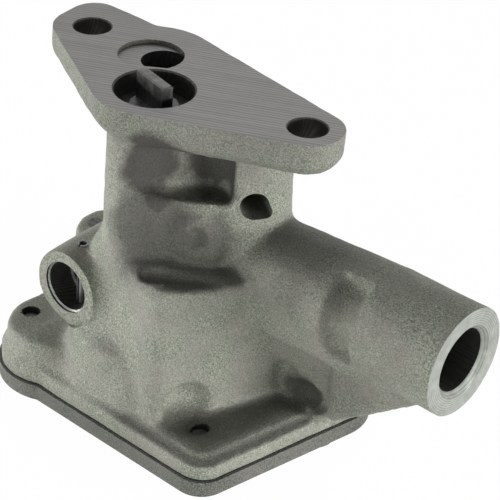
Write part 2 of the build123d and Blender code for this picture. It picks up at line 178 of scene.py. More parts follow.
sheet = bpy.data.materials.new("white_sheet")
sheet.use_nodes = True
tree = sheet.node_tree
tree.nodes.clear()
paper = tree.nodes.new("ShaderNodeBsdfDiffuse")
paper.inputs["Color"].default_value = (0.9, 0.9, 0.9, 1)
glow = tree.nodes.new("ShaderNodeEmission")
glow.inputs["Strength"].default_value = GLOW
blend = tree.nodes.new("ShaderNodeMixShader")
share = tree.nodes.new("ShaderNodeMapRange")
share.inputs["To Min"].default_value = GLOW_AS_LIGHT
share.inputs["To Max"].default_value = GLOW_SEEN
tree.links.new(seen_directly(tree), share.inputs["Value"])
tree.links.new(share.outputs[0], blend.inputs["Fac"])
tree.links.new(paper.outputs[0], blend.inputs[1])
tree.links.new(glow.outputs[0], blend.inputs[2])
tree.links.new(blend.outputs[0], tree.nodes.new("ShaderNodeOutputMaterial").inputs["Surface"])
floor_mesh.materials.append(sheet)
print("floor at", round(cad_box[0][2], 4))

# %% [markdown]
# ## The pattern: what the foundry pours
# A cast body is a union of rounded lumps with fillets where they meet. Modelling each fillet would take
# hundreds of edge loops. Instead every lump here is the convex hull of a few rings and balls, the lumps
# are merged by a voxel remesh, and smoothing then rounds every meeting line as sand and molten iron do.

# %% Rings and balls
AXIS_TURN = {
    "Z": Matrix(),
    "X": Matrix.Rotation(math.pi / 2, 4, "Y"),
    "-Y": Matrix.Rotation(math.pi / 2, 4, "X")}

def add_ring(bm, x, y, z, radius, axis="Z", segments=28):
    """A ring of points around an axis through (x, y, z), in millimetres."""
    place = Matrix.Translation((x * MM, y * MM, z * MM)) @ AXIS_TURN[axis]
    bmesh.ops.create_circle(bm, segments=segments, radius=radius * MM, matrix=place)

def add_ball(bm, x, y, z, radius):
    """A ball of points around (x, y, z), in millimetres."""
    place = Matrix.Translation((x * MM, y * MM, z * MM))
    bmesh.ops.create_icosphere(bm, subdivisions=2, radius=radius * MM, matrix=place)

print("axes", list(AXIS_TURN))

# %% Lumps
def lump(rings=(), balls=(), axis="Z"):
    """The closed convex hull of rings and balls."""
    bm = bmesh.new()
    for ring in rings:
        add_ring(bm, *ring, axis=axis)
    for ball in balls:
        add_ball(bm, *ball)
    loose = bmesh.new()
    for vert in bm.verts:
        loose.verts.new(vert.co)
    bm.free()
    hull = bmesh.ops.convex_hull(loose, input=loose.verts)
    bmesh.ops.delete(loose, geom=list(set(hull["geom_interior"] + hull["geom_unused"])), context="VERTS")
    bmesh.ops.recalc_face_normals(loose, faces=loose.faces)
    return loose

def column(circles, low, high, grow=0.0):
    """A lump over circles (x, y, radius) from one height to another, wider by grow at the low end."""
    rings = [(x, y, high, r) for x, y, r in circles] + [(x, y, low, r + grow) for x, y, r in circles]
    return lump(rings)

def cut_off(bm, point, normal):
    """Cuts off what stands on the normal's side of a plane through a point, and closes the cut."""
    everything = bm.verts[:] + bm.edges[:] + bm.faces[:]
    cut = bmesh.ops.bisect_plane(
        bm, geom=everything, plane_co=Vector(point) * MM, plane_no=normal, clear_outer=True)
    rims = [part for part in cut["geom_cut"] if isinstance(part, bmesh.types.BMEdge)]
    bmesh.ops.holes_fill(bm, edges=rims, sides=0)

print("a ball's hull has", len(lump([], [(0, 0, 0, 5)]).faces), "faces")

# %% Pieces and their modifiers
def join(parts):
    """One bmesh out of several, the several freed."""
    whole = bmesh.new()
    for part in parts:
        scrap = bpy.data.meshes.new("scrap")
        part.to_mesh(scrap)
        part.free()
        whole.from_mesh(scrap)
        bpy.data.meshes.remove(scrap)
    return whole

def piece(name, bm):
    """An object at the origin that holds the bmesh."""
    mesh = bpy.data.meshes.new(name)
    bm.to_mesh(mesh)
    bm.free()
    obj = bpy.data.objects.new(name, mesh)
    bpy.context.scene.collection.objects.link(obj)
    return obj

def settle(obj):
    """Applies the modifiers of a piece to its mesh."""
    graph = bpy.context.evaluated_depsgraph_get()
    graph.update()
    mesh = bpy.data.meshes.new_from_object(obj.evaluated_get(graph))
    obj.modifiers.clear()
    old, obj.data = obj.data, mesh
    bpy.data.meshes.remove(old)
    mesh.name = obj.name

# %% [markdown]
# ## Lumps of the pump
# From the top down: the flange with its two ears, the neck of three drilled columns, the upright block
# with its leaning wall, the round relief boss, the tube with its web, and the broad rim at the joint.
# Faces that will be machined get two millimetres of extra stock, which the cutter takes off later.

# %% Dimensions shared by lumps and cutters, in millimetres
FLANGE = 9.5
JOINT = -90.5
STOCK = 2.0
COVER_CORNERS = [
    (-24.5, -9, 15.4), (37.5, -16.4, 8), (38.5, 30, 15), (24, 40.5, 14.5), (-24, 40.5, 14.5), (-40, 27, 14)]
EAR = (-24.5, -9, 17.0)
TUBE_Y, TUBE_Z, TUBE_END = 16.0, -45.0, 92.8
RELIEF_X, RELIEF_Y, RELIEF_Z = -14.0, -16.4, -59.8
SCREWS = [(-32.7, -12.2), (32.7, -12.2), (44.3, 22.5), (-44.3, 24.5), (28, 45), (-28, 45)]
BOLTS = [(-36.3, 13.4), (39.9, 13.4)]
print("joint at", JOINT, "tube's end at", TUBE_END, "screws", len(SCREWS), "bolts", len(BOLTS))

# %% Flange
FLANGE_LEFT = [(-36.3, 13.4, 10.8), (-41.3, 19.5, 7.0), (-1.0, 0.0, 15.7), (-10.6, 15.0, 11.5)]
FLANGE_RIGHT = [(-1.0, 0.0, 15.7), (-14.0, 13.1, 17.5), (39.9, 13.4, 9.6)]

def flange_lumps():
    """Two hulls, whose meeting leaves the shallow notch in the back edge, with a rounded lower edge."""
    levels = ((STOCK, 0), (-6.5, 0), (-FLANGE, 2.2))
    return [
        lump([(x, y, z, r - inset) for x, y, r in circles for z, inset in levels])
        for circles in (FLANGE_LEFT, FLANGE_RIGHT)]

print("flange lumps", len(flange_lumps()))

# %% Neck
NECK = [(0, 0, 11.7), (-12, 14.1, 11.5), (20, 15, 12)]
VENT_START = Vector((20, 15, -25))
VENT = Vector((math.cos(math.radians(38)), -math.sin(math.radians(38)), 0))

def neck_lumps():
    """Three columns in one hull, a collar under the flange, a skirt, a bulge, and a lip for the vent."""
    shaft = column(NECK, -78, -5, grow=1.3)
    collar = lump([(x, y, z, r + more) for x, y, r in NECK for z, more in ((-8.5, 1.6), (-12.5, -0.2))])
    skirt = column([(2, -1, 11.6), (-10, 12, 9.2)], -54, -26, grow=2.4)
    bulge = lump([], [(17.0, -0.6, -32.5, 5.6), (15.0, -0.8, -38.5, 6.2), (19.5, 2.0, -38, 6.0)])
    lip = lump([], [(*(VENT_START + VENT * along), r) for along, r in ((4, 7.4), (6.6, 6.8))])
    return [shaft, collar, skirt, bulge, lip]

print("neck lumps", len(neck_lumps()))

# %% Gear housing, upright block and the roof over the inlet's way down
BLOCK = [(-4.0, -4.5, 9.0), (21.0, -14.6, 5.4), (31.8, 24.8, 9.0), (-4.0, 30.0, 12.0)]
BLOCK_TOP, BLOCK_FALL = -44.0, 1 / 6
CHANNEL_SIDE = [
    (4.5, -60), (4.0, -50), (6.0, -41), (10.5, -33.5), (16, -30.6), (22, -32), (28, -38), (32, -60)]
CHANNEL_FRONT = [
    (10, -60), (14, -54), (36, -42), (50, -34.5), (58, -31), (67, -30.4), (68, -36), (67, -58)]

def sliced(bm, profile, axis):
    """Keeps what lies inside a convex profile of (across, z) points, across being x or y."""
    middle = sum((Vector(point) for point in profile), Vector((0, 0))) / len(profile)
    for low, high in zip(profile, profile[1:] + profile[:1]):
        run = Vector(high) - Vector(low)
        out = Vector((run.y, -run.x))
        if out.dot(Vector(low) - middle) < 0:
            out = -out
        point, normal = (low[0], 0, low[1]), (out.x, 0, out.y)
        if axis == "Y":
            point, normal = (0, low[0], low[1]), (0, out.x, out.y)
        cut_off(bm, point, normal)

def housing_lumps():
    """The chamber's walls, the block with its falling top, the front slope and the saddle to the tube."""
    pair = [(0, 0, 21), (0, 29, 21)]
    rings = [(x, y, z, r) for x, y, r in pair for z in (-89, -71)]
    walls = lump(rings + [(x, y, -64.5, r - 6) for x, y, r in pair])
    rings = []
    for x, y, r in BLOCK:
        top = BLOCK_TOP - y * BLOCK_FALL
        rings += [(x, y, -88, r), (x, y, top - 3, r), (x, y, top - 0.8, r - 1.0), (x, y, top, r - 3)]
    slope = column([(-4, -4, 9.4), (9, -6, 7.4)], -88, -52, grow=9.0)
    channel = bmesh.new()
    bmesh.ops.create_cube(channel, size=0.2, matrix=Matrix.Translation((0.04, 0.016, -0.04)))
    sliced(channel, CHANNEL_SIDE, "Y")
    sliced(channel, CHANNEL_FRONT, "X")
    return [walls, lump(rings), slope, channel]

print("housing lumps", len(housing_lumps()))

# %% Tube, its web and the crease at its root
def plate(corners, y, half):
    """A thick plate across Y over (x, z) corners, its edges rounded."""
    return lump([], [(x, y + side, z, 1.0) for x, z in corners for side in (half - 1, 1 - half)])

CREASE_X, CREASE_OUT, CREASE_RADIUS = 62.6, 15.4, 5.4
CREASE_FROM, CREASE_SWEEP = math.radians(-50), math.radians(-105)

def crease_ring():
    """A round groove that follows the tube's root over its front half."""
    bm = bmesh.new()
    middle = Vector((CREASE_X, TUBE_Y, TUBE_Z)) * MM
    outward = Matrix.Rotation(CREASE_FROM, 4, "X") @ Matrix.Translation((0, 0, -CREASE_OUT * MM))
    place = Matrix.Translation(middle) @ outward @ Matrix.Rotation(-math.pi / 2, 4, "X")
    bmesh.ops.create_circle(bm, cap_ends=True, segments=24, radius=CREASE_RADIUS * MM, matrix=place)
    bmesh.ops.spin(
        bm, geom=bm.verts[:] + bm.edges[:] + bm.faces[:], cent=middle, axis=(1, 0, 0),
        angle=CREASE_SWEEP, steps=20)
    bmesh.ops.recalc_face_normals(bm, faces=bm.faces)
    return bm

def tube_lumps():
    """The neck of the tube with its flare, the tube itself, and a web of four plates under it."""
    narrow, wide = 12.3, 14.8
    root = [(27, TUBE_Y, TUBE_Z, narrow), (64, TUBE_Y, TUBE_Z, narrow), (69.5, TUBE_Y, TUBE_Z, wide)]
    root = lump(root, axis="X")
    tube = lump([(69, TUBE_Y, TUBE_Z, wide), (TUBE_END + STOCK, TUBE_Y, TUBE_Z, wide)], axis="X")
    web = plate([(58, -79), (61, -75.5), (74, -65.8), (86.5, -57.3), (86.5, -46), (58, -46)], TUBE_Y, 6.5)
    inner_web = plate([(39, -86), (50, -86), (60, -75.5), (60, -46), (39, -46)], TUBE_Y + 2, 3.0)
    foot = plate([(37, -70), (50, -71), (60, -68), (60, -46), (37, -46)], TUBE_Y + 1, 5.0)
    fold = plate([(51, -83.5), (60, -77), (60, -46), (51, -46)], TUBE_Y + 0.5, 4.8)
    return [root, tube, web, inner_web, fold, foot]

print("tube lumps", len(tube_lumps()), "crease faces", len(crease_ring().faces))

# %% Relief boss
def relief_lumps():
    """A boss along Y, a little wider at its root."""
    mouth, root = (RELIEF_X, RELIEF_Y - STOCK, RELIEF_Z, 10.6), (RELIEF_X, 14, RELIEF_Z, 12.0)
    return [lump([mouth, root], axis="-Y")]

print("relief lumps", len(relief_lumps()))

# %% Rim, ears and bosses at the joint
def rim_lumps():
    """The rim with its sloped top, the ear at the left front, the left pad and two bosses at the back."""
    rim = column([(x, y, r - 0.8) for x, y, r in COVER_CORNERS], JOINT - STOCK, -86.0)
    apron = column([(x, y, r - 4.5) for x, y, r in COVER_CORNERS], -88.25, -83.5, grow=2.7)
    x, y, r = EAR
    ear_rim = column([(x, y, r - 0.8)], JOINT - STOCK, -86.0)
    ear = column([(x, y, r - 2.6)], -88, -78.6, grow=0.5)
    left = lump([(-40, 27, -88, 11.6), (-40, 27, -70.6, 10.9), (-14, 14.5, -88, 12), (-14, 14.5, -70, 11.5)])
    back = [column([(x, y, 7.4)], -88, -74.5, grow=0.6) for x, y in SCREWS[4:]]
    return [rim, apron, ear_rim, ear, left] + back

print("rim lumps", len(rim_lumps()))

# %% [markdown]
# ## Pouring
# Iron fills the mould as one body, so the lumps become one skin. A boolean union would keep every
# meeting line sharp and could fail on faces that touch. The voxel remesh gives one closed skin of even
# small faces, and the smoothing that follows gives every inner corner its fillet.

# %% Pour the casting
VOXEL = 0.85 * MM

def remesh(obj, size):
    """One even skin over everything in the piece."""
    step = obj.modifiers.new("voxels", "REMESH")
    step.mode = "VOXEL"
    step.voxel_size = size
    settle(obj)

def carve(obj, cutter_mesh):
    """Takes the cutter's volume out of the piece."""
    cutter = piece("cutter", cutter_mesh)
    step = obj.modifiers.new("cut", "BOOLEAN")
    step.operation = "DIFFERENCE"
    step.solver = "EXACT"
    step.object = cutter
    settle(obj)
    bpy.data.objects.remove(cutter)

stock = join(flange_lumps() + neck_lumps() + housing_lumps() + tube_lumps() + relief_lumps() + rim_lumps())
casting = piece("casting", stock)
remesh(casting, VOXEL)
print("stock faces", len(casting.data.polygons))

# %% [markdown]
# ## Hollows
# The pattern has hollows too: a waist under the flange, a trough behind the block's top, and pockets
# round the screws. Balls and hulls taken out of the skin before the smoothing leave them as soft as the
# lumps. The crease round the tube's root is a groove spun over its front.

# %% Hollows
def scaled_ball(x, y, z, radii, turn):
    """A ball stretched to three radii and turned about Z by degrees."""
    bm = bmesh.new()
    shape = Matrix.Diagonal((radii[0] * MM, radii[1] * MM, radii[2] * MM, 1))
    place = Matrix.Translation((x * MM, y * MM, z * MM)) @ Matrix.Rotation(math.radians(turn), 4, "Z")
    bmesh.ops.create_icosphere(bm, subdivisions=4, radius=1, matrix=place @ shape)
    return bm

def neck_hollows():
    """The waist under the flange, the flat round the vent, a trough and a dimple at the neck's foot."""
    front, side = (14.6, -13.4), (18.6, 0.6)
    waist = lump([
        (*front, -10.4, 10.6), (*front, -22.0, 10.6), (*front, -23.4, 9.6),
        (*side, -10.4, 7.4), (*side, -23.8, 7.4), (*side, -25.4, 6.0)])
    scoop = scaled_ball(*(VENT_START + VENT * 17.4), (5.2, 6.4, 8.0), -38)
    trough = lump([], [(15, -15.5, -41, 3.6), (24, -13, -40, 3.4), (33, -1, -41, 3.4), (27, -6, -37, 4)])
    dimple = scaled_ball(20.8, -4.2, -34.5, (3.0, 3.0, 3.4), 0)
    return [waist, scoop, trough, dimple]

def pockets():
    """The pocket at the tube's shoulder and those round the three screws in front."""
    shoulder = scaled_ball(61.5, 1.8, -36.0, (4.6, 4.4, 7.0), 0)
    front_pad = scaled_ball(30.4, -13.2, -78.6, (8.6, 7.6, 6.6), 20)
    right_pad = lump([], [
        (43.5, 12, -79.5, 4.2), (45.5, 13.6, -79.5, 4.4), (52, 12, -77.5, 4), (46, 10, -75, 4)])
    left_pad = lump([
        (-32.7, -12.2, -79.2, 8.4), (-48, -18, -79.2, 11), (-32.7, -12.2, -72, 9), (-48, -18, -72, 12)])
    return [shoulder, front_pad, right_pad, left_pad]

for hollow in neck_hollows() + [crease_ring()] + pockets():
    carve(casting, hollow)
remesh(casting, VOXEL)
print("after hollows", len(casting.data.polygons))

# %% Smooth the meeting lines
def softness(point):
    """How much a place is smoothed, from 0 to 1: the rim, the flange, the block's top and the tube less."""
    x, y, z = (c / MM for c in point)
    soft = 1.0
    if z > -12:
        soft = 0.35
    if -28 < z < -12 and x > 4:
        soft = 0.5
    if -53 < z < -40 and 14 < x < 44 and y < 22:
        soft = 0.4
    if z < -84:
        soft = 0.12
    if x > 59:
        soft = 0.4
    if x > 74:
        soft = 0.25
    return soft

def smooth(obj, rounds, weight):
    """Rounds of smoothing, each place by its own weight."""
    group = obj.vertex_groups.new(name="soft")
    for vert in obj.data.vertices:
        group.add([vert.index], weight(vert.co), "REPLACE")
    step = obj.modifiers.new("smooth", "SMOOTH")
    step.factor = 0.5
    step.iterations = rounds
    step.vertex_group = "soft"
    settle(obj)
    obj.vertex_groups.clear()

smooth(casting, 14, softness)
print("smoothed", len(casting.data.vertices), "points")

# %% Low waves that sand leaves in the skin
LONG_WAVE, SHORT_WAVE = (0.11, 0.22), (0.33, 0.10)
normals = [normal.vector.copy() for normal in casting.data.vertex_normals]
for vert, normal in zip(casting.data.vertices, normals):
    place = vert.co / MM
    wave = noise.noise(place * LONG_WAVE[0]) * LONG_WAVE[1]
    wave += noise.noise(place * SHORT_WAVE[0] + Vector((7, 3, 1))) * SHORT_WAVE[1]
    vert.co += normal * wave * MM
print("casting faces", len(casting.data.polygons))

# %% [markdown]
# ## Machining
# The shop mills the mounting face and the joint, faces the tube and bores the holes. Cutting the faces
# with planes and the holes with turned cutters gives the crisp edges that tell machined from cast.

# %% Mill the flat faces
def mill(obj, point, normal):
    """Takes off what stands on the normal's side of a plane and closes the cut."""
    bm = bmesh.new()
    bm.from_mesh(obj.data)
    cut_off(bm, point, normal)
    bm.to_mesh(obj.data)
    bm.free()

mill(casting, (0, 0, 0), (0, 0, 1))
mill(casting, (0, 0, JOINT), (0, 0, -1))
mill(casting, (TUBE_END, 0, 0), (1, 0, 0))
print("milled faces", len(casting.data.polygons))

# %% Turned cutters for the bores
def turned(profile, origin, axis="Z", segments=64):
    """A closed cutter spun from (radius, height) points around an axis through origin, in millimetres."""
    bm = bmesh.new()
    points = [bm.verts.new((r * MM, 0, h * MM)) for r, h in profile]
    edges = [bm.edges.new(pair) for pair in zip(points, points[1:])]
    bmesh.ops.spin(
        bm, geom=points + edges, cent=(0, 0, 0), axis=(0, 0, 1), angle=2 * math.pi, steps=segments,
        use_merge=True)
    bmesh.ops.remove_doubles(bm, verts=bm.verts, dist=1e-6)
    bmesh.ops.recalc_face_normals(bm, faces=bm.faces)
    place = Matrix.Translation(Vector(origin) * MM) @ AXIS_TURN[axis]
    bmesh.ops.transform(bm, matrix=place, verts=bm.verts)
    return bm

def drilled(radius, low, high, origin, edge):
    """A plain drilled hole along Z with a lightly broken edge at its high end."""
    wide = radius + edge
    return turned([
        (0, low), (radius, low), (radius, high - edge), (wide, high),
        (wide + 1, high + 1), (0, high + 1)], origin)

print("turned cutter faces", len(drilled(5, -10, 0, (0, 0, 0), 0.3).faces))

# %% Bores: shaft, bolts, tube, relief valve and screws
SCREW_TOPS = (-78, -82.5, -82.5, -78.5, -78.5, -78.5)

def bores():
    """Each bore as its own cutter, with the pilot, steps and chamfers that its piece needs."""
    shaft = [(0, -95), (6.38, -95), (6.38, -6), (10.5, -6), (10.5, -0.4), (10.9, 0), (11.9, 1), (0, 1)]
    tube = [
        (0, 65), (7.9, 65), (7.9, 68.8), (8.7, 68.8), (8.7, TUBE_END - 1.4), (10.1, TUBE_END),
        (12, TUBE_END + 2), (0, TUBE_END + 2)]
    relief = [
        (0, -6.5), (5.8, -6.5), (5.8, 8.5), (7.05, 8.5), (7.05, 16.0), (7.45, 16.4), (7.45, 17),
        (11.3, 17), (11.3, 22), (0, 22)]
    straight = [
        turned(shaft, (0, 0, 0)), turned(tube, (0, TUBE_Y, TUBE_Z), "X"),
        turned(relief, (RELIEF_X, 0, RELIEF_Z), "-Y")]
    bolts = [drilled(5.15, -FLANGE - 4, 0, (x, y, 0), edge=0.3) for x, y in BOLTS]
    screws = [drilled(2.6, JOINT - 1, top, (x, y, 0), edge=0.0) for (x, y), top in zip(SCREWS, SCREW_TOPS)]
    return straight + bolts + screws

carve(casting, join(bores()))
print("bored", len(casting.data.polygons))

# %% [markdown]
# ## Openings
# Oil leaves through a deep hole in the mounting face, whose shallow recess stops short of the shaft's
# bore. The vent in the neck was cored, not drilled, so its outline ends in a broken point. A spun cutter
# makes only round holes, so the recess and the vent are cut with hulls of rings.

# %% Outlet, gear chamber, vent and the pin's hole
RECESS, RECESS_RADIUS, RECESS_DEPTH = (-14, 13.1), 8.9, 1.2
OUTLET, OUTLET_RADIUS = (-10.6, 14.6), 6.2
SHAFT_LAND = 11.7
CHAMBER_RADIUS, CHAMBER_TOP, GEAR_SPACING = 17.46, -74.4, 29
PIN_RADIUS, PIN_Y = 1.55, -10.6

def outlet_recess():
    """A shallow round recess, cut straight where the land round the shaft's bore begins."""
    recess = lump([(*RECESS, 1.5, RECESS_RADIUS), (*RECESS, -RECESS_DEPTH, RECESS_RADIUS)])
    lean = Vector((*OUTLET, 0)).normalized()
    cut_off(recess, lean * SHAFT_LAND, -lean)
    return recess

def vent_cutter():
    """A cored hole that ends in a point on its lower right, as where the core print broke away."""
    bm = lump([(0, 0, 0, 3.7), (0, 0, 18, 3.9)], [(4.9, -3.2, 18, 0.6)])
    turn = VENT.to_track_quat("Z", "Y").to_matrix().to_4x4()
    place = Matrix.Translation((VENT_START + VENT * -2) * MM)
    bmesh.ops.transform(bm, matrix=place @ turn, verts=bm.verts)
    return bm

carve(casting, outlet_recess())
carve(casting, lump([(*OUTLET, -0.9, OUTLET_RADIUS), (*OUTLET, -73, OUTLET_RADIUS)]))
carve(casting, column([(0, 0, CHAMBER_RADIUS), (0, GEAR_SPACING, CHAMBER_RADIUS)], JOINT - 1, CHAMBER_TOP))
carve(casting, vent_cutter())
carve(casting, drilled(PIN_RADIUS, -68.9, -40, (RELIEF_X, PIN_Y, 0), edge=0))
print("chamber cut", len(casting.data.polygons))

# %% Hand the casting to the frame
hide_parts("pump_body")
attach(casting, "pump")
print("casting stands for pump_body")

# %% [markdown]
# ## Relief spring
# The spring is wound from round wire and sits between the pin across the bore and the plunger. The
# plunger pushes it 4.5 mm shorter when the valve opens. The coil is made here, in the solid's own space.
# A ring turned and lifted in small steps is the wire.

# %% Wind the spring
WIRE, COIL, TURNS, TRAVEL = 0.6, 3.3, 4.0, 4.5
STEPS = 192

def wound_spring(fixed_end, free_end):
    """A coil of round wire along Y between two ends, in metres."""
    bm = bmesh.new()
    add_ring(bm, RELIEF_X + COIL, fixed_end / MM + WIRE, RELIEF_Z, WIRE, segments=12)
    bmesh.ops.contextual_create(bm, geom=bm.edges[:])
    rise = Vector((0, free_end - fixed_end - 2 * WIRE * MM, 0)) / STEPS
    bmesh.ops.spin(
        bm, geom=bm.verts[:] + bm.edges[:] + bm.faces[:], cent=Vector((RELIEF_X, 0, RELIEF_Z)) * MM,
        axis=(0, 1, 0), dvec=rise, angle=2 * math.pi * TURNS, steps=STEPS)
    bmesh.ops.recalc_face_normals(bm, faces=bm.faces)
    return bm

low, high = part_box("relief_spring")
spring = piece("wound_relief_spring", wound_spring(low.y, high.y))
for face in spring.data.polygons:
    face.use_smooth = len(face.vertices) == 4
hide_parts("relief_spring")
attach(spring, "pump")
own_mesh(spring)
print("spring", round((high.y - low.y) / MM, 2), "mm long, faces", len(spring.data.polygons))

# %% [markdown]
# ## Finishes
# Two skins meet on this pump: the sand-cast one, matt, pebbled and slightly green-grey from the
# protective oil, and the machined one, brighter and combed by the cutter. Each effect that several
# materials need is one group of nodes: sand grain, cutter lines, lathe rings and stains.

# %% Helpers for node trees
def add(tree, kind, **settings):
    """A node. A setting named like one of its inputs sets that input, any other sets the node itself."""
    node = tree.nodes.new("ShaderNode" + kind)
    for key, value in settings.items():
        if key in node.inputs:
            node.inputs[key].default_value = value
        else:
            setattr(node, key, value)
    return node

def group(name, inputs, outputs):
    """An empty node group with float inputs (name: default) and float outputs."""
    tree = bpy.data.node_groups.new(name, "ShaderNodeTree")
    for key, value in inputs.items():
        tree.interface.new_socket(key, in_out="INPUT", socket_type="NodeSocketFloat").default_value = value
    for key in outputs:
        tree.interface.new_socket(key, in_out="OUTPUT", socket_type="NodeSocketFloat")
    return tree, tree.nodes.new("NodeGroupInput"), tree.nodes.new("NodeGroupOutput")

print("nodes and groups ready")

# %% Helpers for values in a node tree
def spread(tree, value, low, high, to_low=0.0, to_high=1.0):
    """Stretches a value's range and returns the output."""
    node = add(tree, "MapRange")
    tree.links.new(value, node.inputs["Value"])
    for key, number in zip(("From Min", "From Max", "To Min", "To Max"), (low, high, to_low, to_high)):
        node.inputs[key].default_value = number
    return node.outputs[0]

def combine(tree, how, one, two):
    """A math node over two outputs or numbers."""
    node = add(tree, "Math", operation=how)
    for socket, value in zip(node.inputs, (one, two)):
        if isinstance(value, (int, float)):
            socket.default_value = value
        else:
            tree.links.new(value, socket)
    return node.outputs[0]

def noise_value(tree, place, scale, detail=3.0, rough=0.55):
    """Noise at a place, from 0 to 1."""
    node = add(tree, "TexNoise", Scale=scale, Detail=detail, Roughness=rough)
    tree.links.new(place, node.inputs["Vector"])
    return node.outputs["Fac"]

print("value helpers ready")

# %% Sand grain: pebbles about 0.4 mm across, waves three times as long, and the mould's pits
GRAIN_SCALES = {"Fine": 2500.0, "Coarse": 800.0}
sand_grain, tree_in, tree_out = group("sand_grain", GRAIN_SCALES, ("Height", "Speck", "Pits"))
place = add(sand_grain, "TexCoord").outputs["Object"]
fine = add(sand_grain, "TexNoise", Detail=3.0, Roughness=0.6)
sand_grain.links.new(place, fine.inputs["Vector"])
sand_grain.links.new(tree_in.outputs["Fine"], fine.inputs["Scale"])
coarse = add(sand_grain, "TexNoise", Detail=2.0, Roughness=0.5)
sand_grain.links.new(place, coarse.inputs["Vector"])
sand_grain.links.new(tree_in.outputs["Coarse"], coarse.inputs["Scale"])
pebbles = spread(sand_grain, fine.outputs["Fac"], 0.3, 0.7)
waves = spread(sand_grain, coarse.outputs["Fac"], 0.3, 0.7)
pebbles_share = combine(sand_grain, "MULTIPLY", pebbles, 0.6)
waves_share = combine(sand_grain, "MULTIPLY", waves, 0.4)
height = combine(sand_grain, "ADD", pebbles_share, waves_share)
sand_grain.links.new(height, tree_out.inputs["Height"])
sand_grain.links.new(spread(sand_grain, fine.outputs["Fac"], 0.38, 0.66), tree_out.inputs["Speck"])
pits = noise_value(sand_grain, place, 230.0, 4.0, 0.65)
sand_grain.links.new(spread(sand_grain, pits, 0.63, 0.72), tree_out.inputs["Pits"])
print(sand_grain.name, [s.name for s in sand_grain.interface.items_tree])

# %% Cutter lines: fine grooves across a milled face, and lathe rings around an axis
STRETCH = {"BANDS": (900, 12, 60), "RINGS": (400, 400, 400)}

def grooves(name, kind, scale, distortion):
    """A group of grooves on Object coordinates; the shift and turn of their axis are its inputs."""
    inputs = {"Scale": scale, "Distortion": distortion, "X": 0.0, "Y": 0.0, "Z": 0.0, "Turn": 0.0}
    tree, into, out = group(name, inputs, ("Lines", "Depth"))
    coords = add(tree, "TexCoord").outputs["Object"]
    centre = add(tree, "CombineXYZ")
    for key in "XYZ":
        tree.links.new(into.outputs[key], centre.inputs[key])
    shifted = add(tree, "VectorMath", operation="SUBTRACT")
    tree.links.new(coords, shifted.inputs[0])
    tree.links.new(centre.outputs[0], shifted.inputs[1])
    turned_place = add(tree, "VectorRotate", rotation_type="Z_AXIS")
    tree.links.new(shifted.outputs[0], turned_place.inputs["Vector"])
    tree.links.new(into.outputs["Turn"], turned_place.inputs["Angle"])
    wave = add(tree, "TexWave", wave_type=kind, Detail=3.0)
    if kind == "RINGS":
        wave.rings_direction = "X"
    tree.links.new(turned_place.outputs[0], wave.inputs["Vector"])
    tree.links.new(into.outputs["Scale"], wave.inputs["Scale"])
    tree.links.new(into.outputs["Distortion"], wave.inputs["Distortion"])
    stretch = add(tree, "Mapping")
    stretch.inputs["Scale"].default_value = STRETCH[kind]
    tree.links.new(turned_place.outputs[0], stretch.inputs["Vector"])
    scratch = noise_value(tree, stretch.outputs[0], 1.0, 2.0)
    even = combine(tree, "MULTIPLY", wave.outputs["Fac"], 0.35)
    lines = combine(tree, "ADD", even, combine(tree, "MULTIPLY", scratch, 0.65))
    tree.links.new(spread(tree, lines, 0.25, 0.75), out.inputs["Lines"])
    tree.links.new(lines, out.inputs["Depth"])
    return tree

cutter_lines = grooves("cutter_lines", "BANDS", 260.0, 2.0)
lathe_rings = grooves("lathe_rings", "RINGS", 500.0, 0.6)
print(cutter_lines.name, lathe_rings.name)

# %% Stains: slow changes of tone left by oil, storage and handling
stains, tree_in, tree_out = group("stains", {"Size": 45.0, "Seed": 0.0}, ("Dark", "Warm"))
place = add(stains, "TexCoord").outputs["Object"]
moved = add(stains, "VectorMath", operation="ADD")
stains.links.new(place, moved.inputs[0])
stains.links.new(tree_in.outputs["Seed"], moved.inputs[1])
for key, low, high, factor in (("Dark", 0.42, 0.66, 1.0), ("Warm", 0.4, 0.62, 2.3)):
    cloud = add(stains, "TexNoise", Detail=4.0, Roughness=0.6)
    size = combine(stains, "MULTIPLY", tree_in.outputs["Size"], factor)
    stains.links.new(moved.outputs[0], cloud.inputs["Vector"])
    stains.links.new(size, cloud.inputs["Scale"])
    stains.links.new(spread(stains, cloud.outputs["Fac"], low, high), tree_out.inputs[key])
print(stains.name)

# %% [markdown]
# ## Painted shade
# Shade is painted into the colour of the cast skin. Faces that look up near the neck's foot, a band under
# the flange and the hollows are darkened nearly to black, as they look in the low side light. It could be
# painted on by hand. Balls of influence round the shaded places do the same with a few numbers, and a
# noise makes each edge ragged.

# %% Painted shade
# Each spot is x, y, z, the radius of the full painted shade, the radius where it ends, and how dark it gets.
SHADE_SPOTS = [
    (13, -11, -17, 10, 14.5, 0.92), (20, -5, -17, 7, 9.5, 0.85), (18, 4, -17, 7, 10.5, 0.88),
    (12, -11, -34, 10, 17, 0.72), (22, -4, -36, 7, 11.5, 0.62), (47, 1, -38, 4, 12, 0.4),
    (63, 2, -37, 4, 9, 0.6), (62, 8, -68, 5, 14, 0.3),
    (32.7, -12.2, -83, 4, 9, 0.65), (44.6, 20, -82, 6, 9.5, 0.85)]
SHADE_RAGGED = 14 * MM

